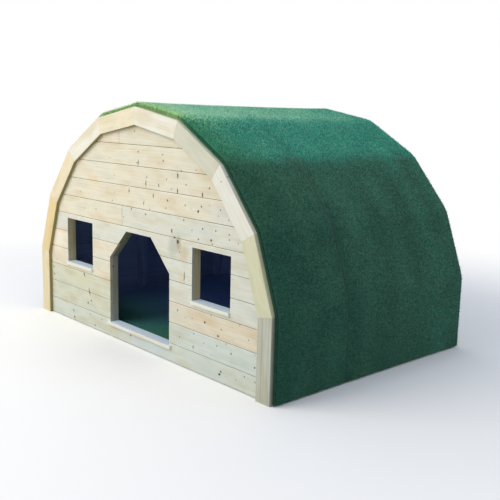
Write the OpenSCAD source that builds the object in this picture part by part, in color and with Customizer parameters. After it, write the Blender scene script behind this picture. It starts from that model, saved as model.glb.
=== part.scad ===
// Turf-roofed timber play den: a boarded front with a doorway and two windows, set in a
// mitred arch of flat trim, under a vault of flat sides that is covered with artificial turf.
// The vault's section is half of a regular polygon that stands on upright sides.
// Millimetres, +Z up. The origin is at ground level, in the middle of the den's plan.
// The front faces -Y, and depths are measured back from the front face of the trim.

/* [Arch] */
// Width over the upright sides, outside the decking
arch_w = 2200; // [1900:10:2600]
// Height of the upright sides, up to the first turn of the roof
side_h = 420; // [340:5:520]
// Length from the front face of the trim to the rear edge
den_l = 1500; // [1200:10:2000]

/* [Front trim] */
// Width of the flat trim members
trim_w = 95; // [70:1:130]
// Thickness of the flat trim members
trim_t = 22; // [16:1:32]

/* [Boarded walls] */
// Thickness of the wall boards
wall_t = 18; // [14:1:28]
// Height of the lowest board's edge above the ground
wall_lift = 5; // [2:1:20]

/* [Doorway] */
// Clear width of the doorway
door_w = 585; // [500:5:680]
// Height of the heads of the doorway and the windows
head_z = 651; // [600:1:720]
// Width and height of the slanting corners at the doorway's head
door_corner = 172; // [100:1:220]

/* [Windows] */
// Clear width of each window
window_w = 301; // [220:1:340]
// Share of the boarding beside a window that lies between it and the doorway
pier_share = 0.383; // [0.35:0.001:0.45]
// Height of the window sills' top
window_sill_z = 375; // [300:1:450]

/* [Sills] */
// Thickness of the sills
sill_t = 20; // [15:1:30]
// How far the sills stand out from the boards
sill_nose = 12; // [6:1:15]
// How far the door sill's nose runs past the doorway on each side
sill_horn = 20; // [5:1:40]

/* [Frame timber] */
// Width of the frame timber
frame_w = 70; // [50:1:90]
// Thickness of the frame timber
frame_t = 38; // [28:1:50]

/* [Roof] */
// Thickness of the decking on the ribs
deck_t = 18; // [12:1:25]
// Height of the turf, from backing to tips
turf_t = 22; // [12:1:35]
// Length of the rear turf width, measured along the den
turf_rear_l = 990; // [700:10:1100]
// Height of the decking's lower edge above the ground
deck_lift = 5; // [2:1:20]
// Height of the turf's lower edge above the ground
turf_lift = 8; // [3:1:30]

/* [Floor] */
// Height of the floor bearers
bearer_h = 45; // [30:1:50]
// Thickness of the floor deck
floor_t = 18; // [12:1:24]
// Height of the turf laid on the floor
floor_turf_t = 14; // [8:1:16]

/* [Hidden] */
// Open joint left between two members that meet at a mitre
mitre_gap = 0.5;
// Open joint left between the two widths of turf
seam_gap = 1;
// Room left between the boards' ends and the decking round them
board_gap = 0.5;

// The roof has this many flat sides on each half of the arch
sides_each = 4;
floor_bearers = 5;
roof_sides = 2 * sides_each;
last_corner = roof_sides + 2;
// The arch turns by the same angle at every corner, from upright to upright
turn = 180 / (roof_sides + 1);
half_turn = turn / 2;
arch_r = arch_w / 2 / cos(half_turn);
arch_centre_z = side_h - arch_r * sin(half_turn);

// Insets of the layers from the outside of the decking, and depths from the trim's front face
rib_inset = deck_t;
room_inset = deck_t + frame_w;
front_y = -den_l / 2;
board_y = trim_t;
front_frame_y = trim_t + wall_t;
room_y = front_frame_y + frame_t;
rear_board_y = den_l - wall_t;
rear_frame_y = rear_board_y - frame_t;
middle_rib_y = (front_frame_y + rear_frame_y) / 2;
turf_seam_y = den_l - turf_rear_l;

// The room's clear width and depth, between the ribs and between the end frames
room_w = arch_w - 2 * room_inset;
room_l = rear_frame_y - room_y;
door_side = door_w / 2;
pier_w = pier_share * (arch_w / 2 - door_side - window_w);
window_in = door_side + pier_w;
window_out = window_in + window_w;
door_sill_z = frame_w + sill_t;
sill_l = sill_nose + wall_t + frame_t;
sill_y = board_y - sill_nose;
floor_z = bearer_h + floor_t;

pale_pine = "#E4DCC8";
warm_pine = "#EEDDB0";
grey_pine = "#C9C8B8";
frame_pine = "#B89A5E";
deck_pine = "#A88F63";
turf_green = "#2F6B50";
floor_green = "#2E5E48";

// Direction of side number i of the arch: 0 is the left upright, going up
function side_way(i) = [cos(90 - turn * i), sin(90 - turn * i)];

// Corner number i of the arch, moved inwards by an inset: 0 is the left foot, at the given height
function arch_corner(i, inset, foot) =
    i == 0 ? [-arch_w / 2 + inset, foot] :
    i == last_corner ? [arch_w / 2 - inset, foot] :
    [0, arch_centre_z] + (arch_r - inset / cos(half_turn))
        * [cos(180 + half_turn - turn * i), sin(180 + half_turn - turn * i)];

function arch_line(inset, foot) = [for (i = [0 : last_corner]) arch_corner(i, inset, foot)];

function reversed(points) = [for (i = [len(points) - 1 : -1 : 0]) points[i]];

// Area inside the arch at an inset
module arch_area(inset, foot) {
    polygon(arch_line(inset, foot));
}

// Section of one straight member of the arch, between two insets, mitred at its corners
module arch_member(i, outer, inner, foot) {
    start = side_way(i) * (i == 0 ? 0 : mitre_gap / 2);
    end = side_way(i) * (i == roof_sides + 1 ? 0 : mitre_gap / 2);
    polygon([
        arch_corner(i, outer, foot) + start,
        arch_corner(i + 1, outer, foot) - end,
        arch_corner(i + 1, inner, foot) - end,
        arch_corner(i, inner, foot) + start
    ]);
}

// A section in the plane of the front, carried back from a depth
module carried(depth, thickness) {
    translate([0, front_y + depth + thickness, 0])
        rotate([90, 0, 0])
            linear_extrude(height = thickness) children();
}

// A rectangle in the plane of the front, from its left to its right and its foot to its top
module panel(left, right, foot, top) {
    translate([left, foot]) square([right - left, top - foot]);
}

module both_sides() {
    children();
    mirror([1, 0]) children();
}

// Mitred trim round the front

module trim_member(i) {
    carried(0, trim_t) arch_member(i, 0, trim_w, 0);
}

module trim_left_post() color(warm_pine) trim_member(0);
module trim_left_1() color(warm_pine) trim_member(1);
module trim_left_2() color(warm_pine) trim_member(2);
module trim_left_3() color(warm_pine) trim_member(3);
module trim_left_4() color(warm_pine) trim_member(sides_each);
module trim_right_4() color(pale_pine) trim_member(sides_each + 1);
module trim_right_3() color(pale_pine) trim_member(roof_sides - 2);
module trim_right_2() color(pale_pine) trim_member(roof_sides - 1);
module trim_right_1() color(warm_pine) trim_member(roof_sides);
module trim_right_post() color(grey_pine) trim_member(roof_sides + 1);

// Boarded front, in panels round the doorway and the windows

module front_boards() {
    color(pale_pine)
        carried(board_y, wall_t)
            intersection() {
                arch_area(deck_t + board_gap, wall_lift);
                children();
            }
}

module front_wall_gable() {
    front_boards() panel(-arch_w / 2, arch_w / 2, head_z, side_h + arch_r);
}

module front_wall_left_side() {
    front_boards() panel(-arch_w / 2, -window_out, 0, head_z);
}

module front_wall_left_apron() {
    front_boards() panel(-window_out, -window_in, 0, window_sill_z - sill_t);
}

module front_wall_left_pier() {
    front_boards() panel(-window_in, -door_side, 0, head_z);
}

module front_wall_threshold() {
    front_boards() panel(-door_side, door_side, 0, door_sill_z - sill_t);
}

module front_wall_door_corners() {
    front_boards()
        both_sides()
            polygon([
                [door_side, head_z],
                [door_side - door_corner, head_z],
                [door_side, head_z - door_corner]
            ]);
}

module front_wall_right_pier() {
    front_boards() panel(door_side, window_in, 0, head_z);
}

module front_wall_right_apron() {
    front_boards() panel(window_in, window_out, 0, window_sill_z - sill_t);
}

module front_wall_right_side() {
    front_boards() panel(window_out, arch_w / 2, 0, head_z);
}

// Sills, which lie on the frame and stand out from the boards

module sill(left, right, top, horn) {
    color(pale_pine)
        translate([0, front_y, top - sill_t])
            union() {
                translate([left, sill_y, 0]) cube([right - left, sill_l, sill_t]);
                translate([left - horn, sill_y, 0])
                    cube([right - left + 2 * horn, sill_nose, sill_t]);
            }
}

module door_sill() sill(-door_side, door_side, door_sill_z, sill_horn);
module left_window_sill() sill(-window_out, -window_in, window_sill_z, 0);
module right_window_sill() sill(window_in, window_out, window_sill_z, 0);

// Frame behind the front boards

module front_frame() {
    color(frame_pine) carried(front_frame_y, frame_t) children();
}

module front_base_rail() {
    front_frame() panel(-room_w / 2, room_w / 2, 0, frame_w);
}

module front_head_rail() {
    front_frame()
        intersection() {
            arch_area(room_inset, 0);
            panel(-room_w / 2, room_w / 2, head_z, head_z + frame_w);
        }
}

module door_jambs() {
    front_frame()
        both_sides() panel(door_side, door_side + frame_t, frame_w, head_z);
}

// Short braces under the head rail, flush with the doorway's slanting corners
module door_corner_braces() {
    brace = frame_t * sqrt(2);
    front_frame()
        both_sides()
            polygon([
                [door_side, head_z - door_corner],
                [door_side, head_z - door_corner + brace],
                [door_side - door_corner + brace, head_z],
                [door_side - door_corner, head_z]
            ]);
}

module window_jambs() {
    front_frame()
        both_sides() {
            panel(window_in - frame_t, window_in, frame_w, head_z);
            panel(window_out, window_out + frame_t, frame_w, head_z);
        }
}

module window_sill_rails() {
    rail_top = window_sill_z - sill_t;
    front_frame()
        both_sides() panel(window_in, window_out, rail_top - frame_w, rail_top);
}

module gable_studs() {
    front_frame()
        intersection() {
            arch_area(room_inset, 0);
            both_sides() panel(door_side, door_side + frame_t, head_z + frame_w, side_h + arch_r);
        }
}

// Ribs of the vault, each of straight members

module rib(depth) {
    color(frame_pine)
        carried(depth, frame_t)
            for (i = [0 : roof_sides + 1])
                arch_member(i, rib_inset, room_inset, 0);
}

module front_rib() rib(front_frame_y);
module middle_rib() rib(middle_rib_y);
module rear_rib() rib(rear_frame_y);

// Decking on the ribs, from the back of the trim to the rear edge

module deck(first, last) {
    color(deck_pine)
        carried(trim_t, den_l - trim_t)
            for (i = [first : last])
                arch_member(i, 0, deck_t, deck_lift);
}

module side_deck_left() deck(0, 0);
module roof_deck_left() deck(1, sides_each);
module roof_deck_right() deck(sides_each + 1, roof_sides);
module side_deck_right() deck(roof_sides + 1, roof_sides + 1);

// Artificial turf over the whole vault, in two widths that meet at a seam

module turf(from, to) {
    color(turf_green)
        carried(from, to - from)
            polygon(concat(arch_line(-turf_t, turf_lift), reversed(arch_line(0, turf_lift))));
}

module turf_front() turf(trim_t, turf_seam_y - seam_gap);
module turf_rear() turf(turf_seam_y, den_l);

// Boarded rear wall on its frame

module rear_wall() {
    color(pale_pine) carried(rear_board_y, wall_t) arch_area(deck_t + board_gap, wall_lift);
}

module rear_base_rail() {
    color(frame_pine)
        carried(rear_frame_y, frame_t) panel(-room_w / 2, room_w / 2, 0, frame_w);
}

module rear_studs() {
    color(frame_pine)
        carried(rear_frame_y, frame_t)
            intersection() {
                arch_area(room_inset, 0);
                both_sides() panel(door_side, door_side + frame_t, frame_w, side_h + arch_r);
            }
}

// Boarded floor on bearers, with turf laid on it

module floor_layer(foot, thickness) {
    translate([-room_w / 2, front_y + room_y, foot]) cube([room_w, room_l, thickness]);
}

module floor_bearers() {
    step = (room_l - frame_t) / (floor_bearers - 1);
    color(frame_pine)
        for (k = [0 : floor_bearers - 1])
            translate([-room_w / 2, front_y + room_y + k * step, 0])
                cube([room_w, frame_t, bearer_h]);
}

module floor_deck() color(deck_pine) floor_layer(bearer_h, floor_t);
module floor_turf() color(floor_green) floor_layer(floor_z, floor_turf_t);

trim_left_post();
trim_left_1();
trim_left_2();
trim_left_3();
trim_left_4();
trim_right_4();
trim_right_3();
trim_right_2();
trim_right_1();
trim_right_post();
front_wall_gable();
front_wall_left_side();
front_wall_left_apron();
front_wall_left_pier();
front_wall_threshold();
front_wall_door_corners();
front_wall_right_pier();
front_wall_right_apron();
front_wall_right_side();
door_sill();
left_window_sill();
right_window_sill();
front_base_rail();
front_head_rail();
door_jambs();
door_corner_braces();
window_jambs();
window_sill_rails();
gable_studs();
front_rib();
middle_rib();
rear_rib();
side_deck_left();
side_deck_right();
roof_deck_left();
roof_deck_right();
turf_front();
turf_rear();
rear_wall();
rear_base_rail();
rear_studs();
floor_bearers();
floor_deck();
floor_turf();
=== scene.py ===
"""Looks of the turf-roofed timber play den: planed boards, mitred trim, framing, decking and turf pile."""
import math
from functools import partial

import bmesh
import bpy
import numpy as np
from mathutils import Matrix, Vector


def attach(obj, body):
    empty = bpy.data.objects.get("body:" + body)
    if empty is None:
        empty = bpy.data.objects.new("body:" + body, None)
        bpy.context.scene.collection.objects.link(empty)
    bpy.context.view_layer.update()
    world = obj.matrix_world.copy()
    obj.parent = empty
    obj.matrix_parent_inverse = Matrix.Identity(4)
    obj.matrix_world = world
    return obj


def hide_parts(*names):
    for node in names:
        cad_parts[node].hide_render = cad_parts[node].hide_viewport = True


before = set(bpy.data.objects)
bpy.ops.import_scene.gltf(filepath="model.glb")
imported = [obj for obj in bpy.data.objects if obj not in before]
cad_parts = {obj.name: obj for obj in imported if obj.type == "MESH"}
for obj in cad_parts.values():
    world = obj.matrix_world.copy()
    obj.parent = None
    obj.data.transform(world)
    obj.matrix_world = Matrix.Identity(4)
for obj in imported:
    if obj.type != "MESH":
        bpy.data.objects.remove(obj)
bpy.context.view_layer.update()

BODY = "root"
MM_PER_M = 1000
rng = np.random.default_rng(27)

# Sizes of the part in metres. Depths run back from the front face of the trim.
ARCH_W = 2.200
SIDE_H = 0.420
DEN_L = 1.500
TRIM_W = 0.095
TRIM_T = 0.022
WALL_T = 0.018
WALL_LIFT = 0.005
DOOR_W = 0.585
HEAD_Z = 0.651
DOOR_CORNER = 0.172
WINDOW_W = 0.301
PIER_SHARE = 0.383
WINDOW_SILL_Z = 0.375
SILL_T = 0.020
SILL_NOSE = 0.012
SILL_HORN = 0.020
FRAME_W = 0.070
FRAME_T = 0.038
DECK_T = 0.018
TURF_T = 0.022
TURF_REAR_L = 0.990
DECK_LIFT = 0.005
TURF_LIFT = 0.008
BEARER_H = 0.045
FLOOR_T = 0.018
FLOOR_TURF_T = 0.014
MITRE_GAP = 0.0005
SEAM_GAP = 0.001
BOARD_GAP = 0.0005

SIDES_EACH = 4
ROOF_SIDES = 2 * SIDES_EACH
LAST_CORNER = ROOF_SIDES + 2
FLOOR_BEARERS = 5
TURN = math.radians(180 / (ROOF_SIDES + 1))
ARCH_R = ARCH_W / 2 / math.cos(TURN / 2)
ARCH_CENTRE_Z = SIDE_H - ARCH_R * math.sin(TURN / 2)
APEX_Z = ARCH_CENTRE_Z + ARCH_R

FRONT_Y = -DEN_L / 2
BOARD_Y = FRONT_Y + TRIM_T
FRAME_Y = BOARD_Y + WALL_T
ROOM_Y = FRAME_Y + FRAME_T
REAR_Y = DEN_L / 2
REAR_BOARD_Y = REAR_Y - WALL_T
REAR_FRAME_Y = REAR_BOARD_Y - FRAME_T
MIDDLE_RIB_Y = (FRAME_Y + REAR_FRAME_Y) / 2
SEAM_Y = REAR_Y - TURF_REAR_L
ROOM_INSET = DECK_T + FRAME_W
ROOM_HALF = ARCH_W / 2 - ROOM_INSET
DOOR_SIDE = DOOR_W / 2
WINDOW_IN = DOOR_SIDE + PIER_SHARE * (ARCH_W / 2 - DOOR_SIDE - WINDOW_W)
WINDOW_OUT = WINDOW_IN + WINDOW_W
SILL_FOOT = WINDOW_SILL_Z - SILL_T
FLOOR_Z = BEARER_H + FLOOR_T

# Boarding: courses of one cover width, above a lowest board that was ripped narrower
BOARD_COVER = 0.115
FIRST_JOINT_Z = 0.105
COURSES = 11
BOARD_JOINTS = FIRST_JOINT_Z + BOARD_COVER * np.arange(COURSES - 1)
JOINT_GAP = 0.0022
JOINT_DEPTH = 0.007
JOINT_EASE = 0.0012
CATCH_H = 0.003
CATCH_DEPTH = 0.0015
TONGUE_H = 0.006
TONGUE_T = 0.006
TONGUE_GAP = 0.0003
BUTT_GAP = 0.0022
REVEAL_GRIME = 0.45
END_GRAIN_FROM = 0.5
BOARD_TONE_SPREAD = 0.04
PLANK_EASE = 0.0015
SILL_EASE = 0.002
DECK_GAP = 0.0015
DECK_BOARDS_EACH = 4
FLOOR_BOARDS = 20

# How far boards run on below the walls, above the arch and past its sides before they are cut to it
FOOT_OVERRUN = 0.01
TOP_OVERRUN = 0.02
CUT_OVERRUN = 0.05

# The photograph's camera, fitted to the arch and the openings
CAMERA_AT = (3.44332, -3.02437, 1.32495)
CAMERA_YAW = math.radians(-47.702)
CAMERA_PITCH = math.radians(10.331)
CAMERA_ROLL = math.radians(-1.398)
CAMERA_LENS = 54.176
CAMERA_SENSOR = 36.0


# Materials

WHITE = "#FFFFFF"
RGBA = {"data_type": "RGBA", "out": 2}
MULTIPLIED = {"blend_type": "MULTIPLY", **RGBA}
SMOOTH = {"interpolation_type": "SMOOTHSTEP"}

# Pine's pattern in metres, along and across the board, and the share of places for a knot that stay bare
STREAK_SIZE = (0.625, 0.009)
CLOUD_SIZE = (0.26, 0.09)
BENDS_PER_M = (2.2, 11.0, 1.0)
BEND_DEPTH = 0.012
RAGGED_SIZE = 0.012
RAGGED_DEPTH = 0.014
PIN_KNOT_R = (0.0021, 0.00504)
LEAST_KNOT = 0.001
BARE_SHARE = 0.35
GRAIN_RUN = 40
GRAIN_DEPTH = 0.0006
GRAIN_GLOSS = 0.08

# How a spot fades, by Map Range's inputs: two distances as shares of its size, and the strength at each
BLUSH_FADE = {1: 0.2, 2: 1.0, 3: 0.5, 4: 0.0}
HALO_FADE = {1: 0.9, 2: 2.6, 3: 0.22, 4: 0.0}
CORE_FADE = {1: 0.7, 2: 1.3, 3: 0.95, 4: 0.0}
KNOT_HALO = "#B39468"

# The turf mat's fibres: the speckle's and the patches' size in metres, and how far each moves the tone
SPECKLE = (0.007, 0.16)
PATCHES = (0.30, 0.06)
SPECKLE_DEPTH = 0.004
NOISE_RANGE = {1: 0.3, 2: 0.7}
NAIL_SPOTS_PER_M = 60.0


def linear(code, alpha=1.0):
    """An sRGB hex colour as linear light, for a colour socket."""
    parts = np.array([int(code[i:i + 2], 16) for i in (1, 3, 5)]) / 255
    light = np.where(parts <= 0.04045, parts / 12.92, ((parts + 0.055) / 1.055) ** 2.4)
    return (*light.tolist(), alpha)


def feed(node, links):
    """Feeds a node's inputs with sockets or plain values."""
    for key, value in links.items():
        if isinstance(value, bpy.types.NodeSocket):
            node.id_data.links.new(value, node.inputs[key])
        else:
            node.inputs[key].default_value = value


def add_node(tree, kind, links=None, stops=(), out=0, **settings):
    """Adds a node and gives one output, or all of them where out is None. settings are its properties, links
    feed its inputs, and stops are its ramp's places and colours."""
    made = tree.nodes.new("ShaderNode" + kind)
    for key, value in settings.items():
        setattr(made, key, value)
    feed(made, links or {})
    if stops:
        ramp = made.color_ramp.elements
        while len(ramp) < len(stops):
            ramp.new(1.0)
        for element, (place, code) in zip(ramp, stops):
            element.position = place
            element.color = linear(code)
    return made.outputs if out is None else made.outputs[out]


def new_material(name):
    """An empty node material, the function that adds its nodes, and its Principled shader."""
    material = bpy.data.materials.new(name)
    material.use_nodes = True
    tree = material.node_tree
    return material, partial(add_node, tree), tree.nodes["Principled BSDF"]


def pine(name, tones, streak, shade, knot, cool=WHITE, knot_pitch=0.16, knot_size=0.05, rough=0.6,
         marks=(), dots=(), blushes=(), stain=None, grime=None):
    """Planed pine: a matt pale board with soft streaks along the grain, wider bands and small brown knots.
    tones is the range between boards, multiplied by streak, shade and cool, on the "grain" map in metres.
    Annual rings, 2 to 3 mm apart, are finer than a pixel, so the streaks are drawn at 9 mm. marks, dots and
    blushes are knots, pin knots and soft colours placed one by one; the blushes along the boards' foot are
    painted shade. The painted light colour goes on the faces marked for it: painted shade in the room and on
    the trim's inner sides, a painted sky reflection on the sills. grime colours the faces marked "grimy"."""
    material, add, shader = new_material(name)
    grain = add("UVMap", uv_map="grain")
    bend = add("Mapping", {"Vector": grain, "Scale": BENDS_PER_M})
    bend = add("TexNoise", {"Vector": bend, "Scale": 1.0, "Detail": 1.0}, out="Color")
    bend = add("VectorMath", {0: bend, 1: (0.0, BEND_DEPTH, 0.0)}, operation="MULTIPLY")
    bent = add("VectorMath", {0: grain, 1: bend}, operation="ADD")
    fine = add("Mapping", {"Vector": bent, "Scale": (1 / STREAK_SIZE[0], 1 / STREAK_SIZE[1], 1.0)})
    fine = add("TexNoise", {"Vector": fine, "Scale": 1.0, "Detail": 3.0}, out="Fac")
    wide = add("Mapping", {"Vector": bent, "Scale": (1 / CLOUD_SIZE[0], 1 / CLOUD_SIZE[1], 1.0)})
    wide = add("TexNoise", {"Vector": wide, "Scale": 1.0, "Detail": 2.0}, out="Fac")
    tone = add("Attribute", attribute_name="tone", out="Fac")
    colour = add("ValToRGB", {0: tone}, [(i / (len(tones) - 1), code) for i, code in enumerate(tones)])
    fine_tint = add("ValToRGB", {0: fine}, [(0.32, streak), (0.62, WHITE)])
    wide_tint = add("ValToRGB", {0: wide}, [(0.30, shade), (0.52, WHITE), (0.72, cool)])
    for tint in (fine_tint, wide_tint):
        colour = add("Mix", {0: 1.0, 6: colour, 7: tint}, **MULTIPLIED)
    cells = add("TexVoronoi", {"Vector": bent, "Scale": 1 / knot_pitch}, out=None, voronoi_dimensions="2D")
    chance = add("SeparateColor", {0: cells["Color"]})
    size = add("MapRange", {0: chance, 1: BARE_SHARE, 2: 1.0, 3: LEAST_KNOT, 4: knot_size})
    near = add("Math", {0: cells["Distance"], 1: size}, operation="DIVIDE")
    place = add("TexCoord", out="Object")
    ragged = add("TexNoise", {"Vector": place, "Scale": 1 / RAGGED_SIZE, "Detail": 2.0}, out="Color")
    ragged = add("VectorMath", {0: ragged, 1: (0.5, 0.5, 0.5)}, operation="SUBTRACT")
    ragged = add("VectorMath", {0: ragged, 1: (RAGGED_DEPTH, 0.0, RAGGED_DEPTH)}, operation="MULTIPLY")
    place = add("VectorMath", {0: place, 1: ragged}, operation="ADD")

    def from_spot(x, z, half_w, half_h, lean=0):
        """Distance from a leaning ellipse's middle, as a share of its half sizes."""
        spot = add("Mapping", {
            "Vector": place,
            "Location": (x / MM_PER_M, BOARD_Y, z / MM_PER_M),
            "Rotation": (0.0, math.radians(lean), 0.0),
            "Scale": (half_w / MM_PER_M, 1.0, half_h / MM_PER_M),
        }, vector_type="TEXTURE")
        return add("VectorMath", {0: spot}, operation="LENGTH", out="Value")

    for *spot, code in blushes:
        share = add("MapRange", {0: from_spot(*spot), **BLUSH_FADE}, **SMOOTH)
        colour = add("Mix", {0: share, 6: colour, 7: linear(code)}, **RGBA)
    for spot in marks:
        near = add("Math", {0: near, 1: from_spot(*spot)}, operation="MINIMUM")
    if dots:
        apart = 1.0
        for x, z in dots:
            middle = (x / MM_PER_M, BOARD_Y, z / MM_PER_M)
            dot = add("VectorMath", {0: place, 1: middle}, operation="DISTANCE", out="Value")
            apart = add("Math", {0: apart, 1: dot}, operation="MINIMUM")
        radius = add("MapRange", {0: chance, 3: PIN_KNOT_R[0], 4: PIN_KNOT_R[1]})
        apart = add("Math", {0: apart, 1: radius}, operation="DIVIDE")
        near = add("Math", {0: near, 1: apart}, operation="MINIMUM")
    for fade, code in ((HALO_FADE, KNOT_HALO), (CORE_FADE, knot)):
        share = add("MapRange", {0: near, **fade}, **SMOOTH)
        colour = add("Mix", {0: share, 6: colour, 7: linear(code)}, **RGBA)
    # Painted light on the faces marked for it, painted shade in the room and on the trim, a painted sky
    # reflection on the sills; then grime
    for key, code in (("stained", stain), ("grimy", grime)):
        if code:
            share = add("Attribute", attribute_name=key, out="Fac")
            painted_light_and_grime = add("Mix", {0: 1.0, 6: fine_tint, 7: linear(code)}, **MULTIPLIED)
            colour = add("Mix", {0: share, 6: colour, 7: painted_light_and_grime}, **RGBA)
    feed(shader, {
        "Base Color": colour,
        "Roughness": add("MapRange", {0: fine, 3: rough + GRAIN_GLOSS, 4: rough - GRAIN_GLOSS}),
        "Normal": add("Bump", {"Strength": 0.25, "Distance": GRAIN_DEPTH, "Height": fine}),
        "Specular IOR Level": 0.3,
    })
    return material


def turf_material(name, greens, fringe_greens, root, sheen, fibres):
    """Polyethylene turf: fine blades in mixed greens, dark at the root, with a soft sheen; on the roof's top
    they are painted paler for the sheen and sky light there. "tone" is a blade's colour, "tip" its height,
    and "fringe" marks painted light: sunlight on the roof's front edge, a lighter blue along the floor's
    walls.
    The mat's fibres are a speckle 7 mm wide, coarser than the real one so that it shows."""
    material, add, shader = new_material(name)
    tone, tip, fringe = (
        add("Attribute", attribute_name=key, out="Fac") for key in ("tone", "tip", "fringe"))
    if fibres:
        place = add("TexCoord", out="Object")
        moves = []
        for size, spread in (SPECKLE, PATCHES):
            noise = add("TexNoise", {"Vector": place, "Scale": 1 / size, "Detail": 2.0}, out="Fac")
            moves.append(add("MapRange", {0: noise, **NOISE_RANGE, 3: -spread, 4: spread}))
        tone = add("Math", {0: tone, 1: moves[0]}, operation="ADD")
        tone = add("Math", {0: tone, 1: moves[1]}, operation="ADD", use_clamp=True)
        relief = add("Bump", {"Strength": 0.3, "Distance": SPECKLE_DEPTH, "Height": moves[0]})
        feed(shader, {"Normal": relief})
    green = add("ValToRGB", {0: tone}, greens)
    edge_light = add("ValToRGB", {0: tone}, fringe_greens)
    green = add("Mix", {0: fringe, 6: green, 7: edge_light}, **RGBA)
    feed(shader, {
        "Base Color": add("Mix", {0: tip, 6: linear(root), 7: green}, **RGBA),
        "Roughness": 0.7,
        "Specular IOR Level": 0.2,
        "Sheen Weight": sheen,
        "Sheen Roughness": 0.5,
        "Sheen Tint": linear("#A6EAD0"),
    })
    return material


def nail_material():
    """Galvanised steel nail heads, driven flush: small dull grey spots that have darkened with weather."""
    material, add, shader = new_material("galvanised steel nail heads")
    place = add("TexCoord", out="Object")
    spots = add("TexNoise", {"Vector": place, "Scale": NAIL_SPOTS_PER_M, "Detail": 1.0}, out="Fac")
    colour = add("ValToRGB", {0: spots}, [(0.3, "#4A4844"), (0.7, "#6A6760")])
    feed(shader, {"Base Color": colour, "Metallic": 0.4, "Roughness": 0.55})
    return material


# Knots on the front boards: x, height, half width, half height in mm, lean in degrees
FRONT_MARKS = [
    (2, 1044, 4, 13, 8), (360, 1001, 4, 12, -6), (76, 939, 4, 14, 2), (195, 937, 3, 9, -8),
    (359, 925, 4, 12, -3), (563, 922, 5, 12, 4), (-88, 884, 4, 12, -4), (145, 879, 4, 9, 0),
    (56, 831, 3, 11, 8), (273, 867, 4, 6, -15), (-66, 784, 3, 7, 10), (422, 487, 3, 24, 3),
    (364, 661, 9, 11, 0), (338, 681, 5, 5, 0), (312, 712, 6, 9, 0), (531, 837, 6, 6, 0),
    (701, 237, 6, 6, 0), (504, 132, 4, 8, 0), (727, 61, 4, 6, -30), (716, 45, 7, 5, 0),
    (-591, 321, 4, 13, -25), (-531, 221, 5, 16, -25), (-549, 150, 6, 7, 0), (-511, 172, 6, 6, 0),
    (-730, 62, 4, 10, -25), (-720, 22, 6, 8, 0),
]

# Pin knots on the front boards: x and height in mm
FRONT_DOTS = [
    (4, 1103), (227, 1102), (234, 1069), (83, 973), (265, 975), (305, 927), (432, 961), (617, 962),
    (-237, 960), (-237, 863), (425, 858), (557, 866), (702, 862), (692, 834), (-146, 731), (72, 770),
    (413, 780), (337, 746), (484, 737), (567, 756), (669, 759), (771, 753), (772, 726), (835, 719),
    (537, 698), (637, 706), (367, 300), (430, 275), (494, 282), (595, 284), (726, 276), (861, 331),
    (925, 272), (983, 275), (971, 208), (973, 149), (979, 80), (506, 201), (384, 157), (590, 172),
    (691, 184), (802, 172), (648, 127), (841, 51), (-624, 830), (-573, 734), (-444, 746), (-980, 307),
    (-973, 260), (-524, 83), (-469, 24), (-79, 54), (-32, 1213),
]

# Blushes on the front boards: x, height, half width, half height in mm, colour
FRONT_BLUSHES = [
    (325, 625, 66, 80, "#AEB0A0"),
    (416, 610, 66, 66, "#C8AE7C"),
    (372, 654, 30, 56, "#A0844E"),
    (400, 478, 40, 60, "#DEC8A0"),
    (330, 280, 220, 70, "#D6D8CA"),
    (730, 839, 160, 80, "#D4DAD8"),
    (560, 740, 160, 60, "#D8DEDA"),
    (-473, 900, 110, 60, "#EADDB8"),
    (-400, 450, 120, 90, "#DFE2D2"),
    (-590, 290, 120, 60, "#D8D6B2"),
    # The next two are painted cool shade along the foot of the boards, below the door sill and to its right
    (60, 45, 340, 70, "#CFDCE4"),
    (640, 50, 280, 70, "#D2DEDC"),
    (-920, 490, 130, 130, "#FFF4DE"),
]

# Tones of the boards by course from the ground up: left of the openings, right of them
# The lower courses and the right side are cooler and greyer partly as painted shade; the rest is each board's
# own tone
COURSE_TONES = [
    (0.22, 0.22), (0.12, 0.23), (0.05, 0.96), (0.70, 0.38), (0.78, 0.42), (0.75, 0.46),
    (0.68, 0.44), (0.70, 0.48), (0.66, 0.52), (0.64, 0.62), (0.88, 0.66),
]
KNOT = "#3A372E"
# A blue painted on the room's wood, for the dim, cool shade inside the den
ROOM_SHADE_BLUE = "#A2B6E6"
# Painted shade on the inner sides of the trim, which face away from the light
TRIM_SIDE_SHADE = "#9C905C"
BOARD_LOOK = {
    "tones": ["#DCDCC4", "#D8E1DA", "#E2E4D9", "#E4E0CC", "#F1E8D2", "#E9DFC9"],
    "streak": "#F8F5EF",
    "shade": "#F2EBDF",
    "cool": "#F0F3F1",
    "knot": KNOT,
    "stain": ROOM_SHADE_BLUE,
    "grime": "#8C8468",
}
FRONT_BOARD_PINE = pine(
    "planed pine boards", knot_pitch=0.13, knot_size=0.026,
    marks=FRONT_MARKS, dots=FRONT_DOTS, blushes=FRONT_BLUSHES, **BOARD_LOOK)
REAR_BOARD_PINE = pine("planed pine rear boards", knot_pitch=0.15, knot_size=0.035, **BOARD_LOOK)
TRIM_PINE = pine(
    "planed pine trim", ["#C4C6B4", "#D5D4C2", "#EFEEE4", "#EFE5CB", "#EBD4A0", "#DCDBBC"],
    "#FAF7F0", "#F3ECDE", KNOT, "#F1F3EC", knot_pitch=0.24, knot_size=0.012, stain=TRIM_SIDE_SHADE)
POST_PINE = pine(
    "weathered pine post", ["#C9CBBC", "#CFD0C2"], "#DDDACF", "#EFEBE0", KNOT,
    knot_size=0.02, stain=TRIM_SIDE_SHADE)
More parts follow.
